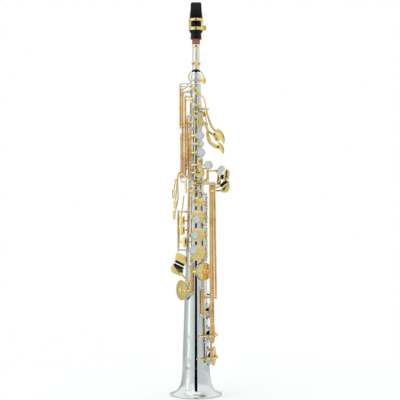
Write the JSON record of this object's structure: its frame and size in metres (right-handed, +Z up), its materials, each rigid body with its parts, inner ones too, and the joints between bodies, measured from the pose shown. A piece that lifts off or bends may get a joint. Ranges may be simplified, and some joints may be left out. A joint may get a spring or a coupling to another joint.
{
  "type": "soprano saxophone",
  "caption": "Straight soprano saxophone: silver conical body and flared bell, gold keywork with pearl touches, detachable neck, black mouthpiece with reed and ligature.",
  "frame": {"origin": "centre of the overall box at the level of the bell rim it stands on; the tube axis is 6.6 mm towards -X from it", "axes": "+Z up along the tube, -Y the side with the finger keys, +X the side of the left hand palm keys"},
  "size_m": [0.1052, 0.092, 0.6956],
  "materials": {
    "silver": "polished silver plate",
    "gold": "polished, gold lacquered",
    "pearl": "mother of pearl",
    "roller": "polished black",
    "ebonite": "polished hard rubber",
    "cane": "dry cane",
    "cork": "matt cork"
  },
  "bodies": {
    "body": {"body_tube": "silver", "bell": "silver", "bell_rim": "silver", "neck_receiver": "silver", "thumb_hook": "gold", "thumb_rest": "gold", "strap_ring": "silver", "rib_palm": "silver", "rib_right_hand": "silver", "rib_low_right": "silver", "rib_low_left": "silver", "rib_left_hand": "silver", "rib_left_side": "silver", "rib_table": "silver", "rib_trill": "silver"},
    "neck": {"neck_tube": "silver", "neck_cork": "cork"},
    "mouthpiece": {"mouthpiece": "ebonite", "reed": "cane", "ligature": "gold"},
    "neck_screw": {"neck_screw": "gold"},
    "ligature_screw": {"ligature_screw": "gold"},
    "neck_octave_key": {"neck_octave_key": "gold"},
    "b_key": {"b_key": "gold", "pearl_b": "pearl"},
    "a_key": {"a_key": "gold", "pearl_a": "pearl"},
    "bis_key": {"bis_key": "gold"},
    "g_key": {"g_key": "gold", "pearl_g": "pearl"},
    "front_f_key": {"front_f_key": "gold"},
    "palm_f_key": {"palm_f_key": "gold"},
    "palm_e_flat_key": {"palm_e_flat_key": "gold"},
    "palm_d_key": {"palm_d_key": "gold"},
    "octave_lever": {"octave_lever": "gold"},
    "octave_vent_key": {"octave_vent_key": "gold"},
    "side_e_key": {"side_e_key": "gold"},
    "side_c_key": {"side_c_key": "gold"},
    "side_b_flat_key": {"side_b_flat_key": "gold"},
    "high_f_sharp_key": {"high_f_sharp_key": "gold"},
    "high_f_sharp_touch": {"high_f_sharp_touch": "gold"},
    "f_sharp_trill_key": {"f_sharp_trill_key": "gold"},
    "f_key": {"f_key": "gold", "pearl_f": "pearl"},
    "e_key": {"e_key": "gold", "pearl_e": "pearl"},
    "d_key": {"d_key": "gold", "pearl_d": "pearl"},
    "f_sharp_key": {"f_sharp_key": "gold"},
    "low_b_flat_key": {"low_b_flat_key": "gold"},
    "low_b_key": {"low_b_key": "gold"},
    "low_c_sharp_lever": {"low_c_sharp_lever": "gold"},
    "low_c_sharp_key": {"low_c_sharp_key": "gold"},
    "g_sharp_key": {"g_sharp_key": "gold"},
    "e_flat_key": {"e_flat_key": "gold"},
    "low_c_key": {"low_c_key": "gold"},
    "roller_c_sharp": {"roller_c_sharp": "roller"},
    "roller_b_flat": {"roller_b_flat": "roller"},
    "roller_e_flat": {"roller_e_flat": "roller"},
    "roller_low_c": {"roller_low_c": "roller"}
  },
  "joints": [
    {"name": "neck_turn", "type": "hinge", "parent": "body", "child": "neck", "pos_m": [-0.00659, 0, 0.556], "axis": [0, 0, 1], "range_deg": [-20, 20]},
    {"name": "mouthpiece_slide", "type": "slide", "parent": "neck", "child": "mouthpiece", "axis": [0, 0, 1], "range_m": [0, 0.012]},
    {"name": "neck_screw_turn", "type": "hinge", "parent": "body", "child": "neck_screw", "pos_m": [-0.01059, -0.0114, 0.555], "axis": [1, 0, 0], "continuous": true},
    {"name": "ligature_screw_turn", "type": "hinge", "parent": "mouthpiece", "child": "ligature_screw", "pos_m": [-0.01059, 0.015, 0.651], "axis": [1, 0, 0], "continuous": true},
    {"name": "neck_octave_press", "type": "hinge", "parent": "neck", "child": "neck_octave_key", "pos_m": [-0.01199, -0.0106, 0.585], "axis": [1, 0, 0], "range_deg": [0, 6], "stiffness_Nm_per_rad": 0.03, "springref_deg": -20.05},
    {"name": "b_press", "type": "hinge", "parent": "body", "child": "b_key", "pos_m": [-0.01609, -0.01563, 0.4474], "axis": [0, 0.0278, 0.9996], "range_deg": [0, 9.98], "stiffness_Nm_per_rad": 0.03, "springref_deg": -20.05},
    {"name": "a_press", "type": "hinge", "parent": "body", "child": "a_key", "pos_m": [-0.01609, -0.01658, 0.413], "axis": [0, 0.0278, 0.9996], "range_deg": [0, 9.48], "stiffness_Nm_per_rad": 0.03, "springref_deg": -20.05},
    {"name": "bis_press", "type": "hinge", "parent": "body", "child": "bis_key", "pos_m": [-0.01609, -0.01591, 0.4374], "axis": [0, 0.0278, 0.9996], "range_deg": [0, 9.44], "stiffness_Nm_per_rad": 0.03, "springref_deg": -20.05},
    {"name": "g_press", "type": "hinge", "parent": "body", "child": "g_key", "pos_m": [-0.01609, -0.01742, 0.383], "axis": [0, 0.0278, 0.9996], "range_deg": [0, 9.85], "stiffness_Nm_per_rad": 0.03, "springref_deg": -20.05},
    {"name": "front_f_press", "type": "hinge", "parent": "body", "child": "front_f_key", "pos_m": [-0.01209, -0.0188, 0.491], "axis": [0, 0, 1], "range_deg": [0, 6], "stiffness_Nm_per_rad": 0.03, "springref_deg": -20.05},
    {"name": "palm_f_press", "type": "hinge", "parent": "body", "child": "palm_f_key", "pos_m": [0.009, -0.01327, 0.505], "axis": [0.4695, 0.8829, 0], "range_deg": [0, 6.11], "stiffness_Nm_per_rad": 0.03, "springref_deg": -20.05},
    {"name": "palm_e_flat_press", "type": "hinge", "parent": "body", "child": "palm_e_flat_key", "pos_m": [0.00458, -0.01626, 0.48], "axis": [0.7071, 0.7071, 0], "range_deg": [0, 4.1], "stiffness_Nm_per_rad": 0.03, "springref_deg": -20.05},
    {"name": "palm_d_press", "type": "hinge", "parent": "body", "child": "palm_d_key", "pos_m": [0.01229, -0.00114, 0.478], "axis": [-0.1736, 0.9848, 0], "range_deg": [0, 6.03], "stiffness_Nm_per_rad": 0.03, "springref_deg": -20.05},
    {"name": "octave_lever_press", "type": "hinge", "parent": "body", "child": "octave_lever", "pos_m": [-0.03449, 0.006, 0.476], "axis": [0, 0, 1], "range_deg": [-5, 0], "stiffness_Nm_per_rad": 0.03, "springref_deg": 20.05},
    {"name": "octave_vent_press", "type": "hinge", "parent": "body", "child": "octave_vent_key", "pos_m": [-0.02159, -0.009, 0.475], "axis": [0, 0, 1], "range_deg": [-6.47, 0], "stiffness_Nm_per_rad": 0.03, "springref_deg": 20.05},
    {"name": "side_e_press", "type": "hinge", "parent": "body", "child": "side_e_key", "pos_m": [-0.02559, -0.007, 0.388], "axis": [0, 0, 1], "range_deg": [-9.24, 0], "stiffness_Nm_per_rad": 0.03, "springref_deg": 20.05},
    {"name": "side_c_press", "type": "hinge", "parent": "body", "child": "side_c_key", "pos_m": [-0.03309, 0.007, 0.388], "axis": [0, 0, 1], "range_deg": [0, 7.66], "stiffness_Nm_per_rad": 0.03, "springref_deg": -20.05},
    {"name": "side_b_flat_press", "type": "hinge", "parent": "body", "child": "side_b_flat_key", "pos_m": [-0.02609, 0.0095, 0.388], "axis": [0, 0, 1], "range_deg": [0, 7.55], "stiffness_Nm_per_rad": 0.03, "springref_deg": -20.05},
    {"name": "high_f_sharp_press", "type": "hinge", "parent": "body", "child": "high_f_sharp_key", "pos_m": [-0.03059, 0.001, 0.388], "axis": [0, 0, 1], "range_deg": [-4.97, 0], "stiffness_Nm_per_rad": 0.03, "springref_deg": 20.05},
    {"name": "high_f_sharp_touch_press", "type": "hinge", "parent": "body", "child": "high_f_sharp_touch", "pos_m": [-0.03779, -0.009, 0.259], "axis": [0, 0, 1], "range_deg": [0, 7], "stiffness_Nm_per_rad": 0.03, "springref_deg": -20.05},
    {"name": "f_sharp_trill_press", "type": "hinge", "parent": "body", "child": "f_sharp_trill_key", "pos_m": [-0.02119, -0.0174, 0.284], "axis": [0.0256, 0.0231, 0.9994], "range_deg": [-12.15, 0], "stiffness_Nm_per_rad": 0.03, "springref_deg": 20.05},
    {"name": "f_press", "type": "hinge", "parent": "body", "child": "f_key", "pos_m": [0.01121, -0.01597, 0.303], "axis": [0, 0.0617, 0.9981], "range_deg": [-9.44, 0], "stiffness_Nm_per_rad": 0.03, "springref_deg": 20.05},
    {"name": "e_press", "type": "hinge", "parent": "body", "child": "e_key", "pos_m": [0.01121, -0.01813, 0.268], "axis": [0, 0.0617, 0.9981], "range_deg": [-9.69, 0], "stiffness_Nm_per_rad": 0.03, "springref_deg": 20.05},
    {"name": "d_press", "type": "hinge", "parent": "body", "child": "d_key", "pos_m": [0.01121, -0.01974, 0.242], "axis": [0, 0.0617, 0.9981], "range_deg": [-9.59, 0], "stiffness_Nm_per_rad": 0.03, "springref_deg": 20.05},
    {"name": "f_sharp_press", "type": "hinge", "parent": "body", "child": "f_sharp_key", "pos_m": [0.01121, -0.01418, 0.332], "axis": [0, 0.0617, 0.9981], "range_deg": [-9.66, 0], "stiffness_Nm_per_rad": 0.03, "springref_deg": 20.05},
    {"name": "low_b_flat_press", "type": "hinge", "parent": "body", "child": "low_b_flat_key", "pos_m": [0.01991, -0.026, 0.063], "axis": [-0.0058, 0.0078, 1], "range_deg": [0, 7.79], "stiffness_Nm_per_rad": 0.03, "springref_deg": -20.05},
    {"name": "low_b_press", "type": "hinge", "parent": "body", "child": "low_b_key", "pos_m": [0.02401, -0.022, 0.0995], "axis": [-0.0081, 0.0147, 0.9999], "range_deg": [0, 8.9], "stiffness_Nm_per_rad": 0.03, "springref_deg": -20.05},
    {"name": "low_c_sharp_lever_press", "type": "hinge", "parent": "body", "child": "low_c_sharp_lever", "pos_m": [0.02841, -0.0184, 0.176], "axis": [-0.0138, 0.0205, 0.9997], "range_deg": [0, 11], "stiffness_Nm_per_rad": 0.03, "springref_deg": -20.05},
    {"name": "low_c_sharp_press", "type": "hinge", "parent": "body", "child": "low_c_sharp_key", "pos_m": [0.00501, -0.0234, 0.144], "axis": [0, 0.0093, 1], "range_deg": [-7.36, 0], "stiffness_Nm_per_rad": 0.03, "springref_deg": 20.05},
    {"name": "g_sharp_press", "type": "hinge", "parent": "body", "child": "g_sharp_key", "pos_m": [0.01391, -0.018, 0.3804], "axis": [0, 0, 1], "range_deg": [0, 5.87], "stiffness_Nm_per_rad": 0.03, "springref_deg": -20.05},
    {"name": "e_flat_press", "type": "hinge", "parent": "body", "child": "e_flat_key", "pos_m": [-0.01499, -0.0268, 0.206], "axis": [0.0083, 0.0333, 0.9994], "range_deg": [-6.63, 0], "stiffness_Nm_per_rad": 0.03, "springref_deg": 20.05},
    {"name": "low_c_press", "type": "hinge", "parent": "body", "child": "low_c_key", "pos_m": [-0.01518, -0.02757, 0.183], "axis": [0.0083, 0.0333, 0.9994], "range_deg": [-8.88, 0], "stiffness_Nm_per_rad": 0.03, "springref_deg": 20.05},
    {"name": "roller_c_sharp_turn", "type": "hinge", "parent": "low_c_sharp_lever", "child": "roller_c_sharp", "pos_m": [0.03961, -0.0202, 0.381], "axis": [0, 0, 1], "continuous": true},
    {"name": "roller_b_flat_turn", "type": "hinge", "parent": "low_b_flat_key", "child": "roller_b_flat", "pos_m": [0.0361, -0.0301, 0.36841], "axis": [0.7914, 0.0483, 0.6093], "continuous": true},
    {"name": "roller_e_flat_turn", "type": "hinge", "parent": "e_flat_key", "child": "roller_e_flat", "pos_m": [-0.04199, -0.0264, 0.2376], "axis": [0.8775, -0.2194, -0.4265], "continuous": true},
    {"name": "roller_low_c_turn", "type": "hinge", "parent": "low_c_key", "child": "roller_low_c", "pos_m": [-0.04488, -0.0303, 0.23235], "axis": [0.8979, -0.0864, -0.4316], "continuous": true}
  ],
  "couplings": [
    {"joint": "low_c_sharp_press", "follows": "low_c_sharp_lever_press", "ratio": -0.6684},
    {"joint": "high_f_sharp_press", "follows": "high_f_sharp_touch_press", "ratio": -0.7092},
    {"joint": "f_sharp_press", "follows": "f_press", "ratio": 1.0222},
    {"joint": "neck_octave_press", "follows": "octave_lever_press", "ratio": -1.1987}
  ]
}
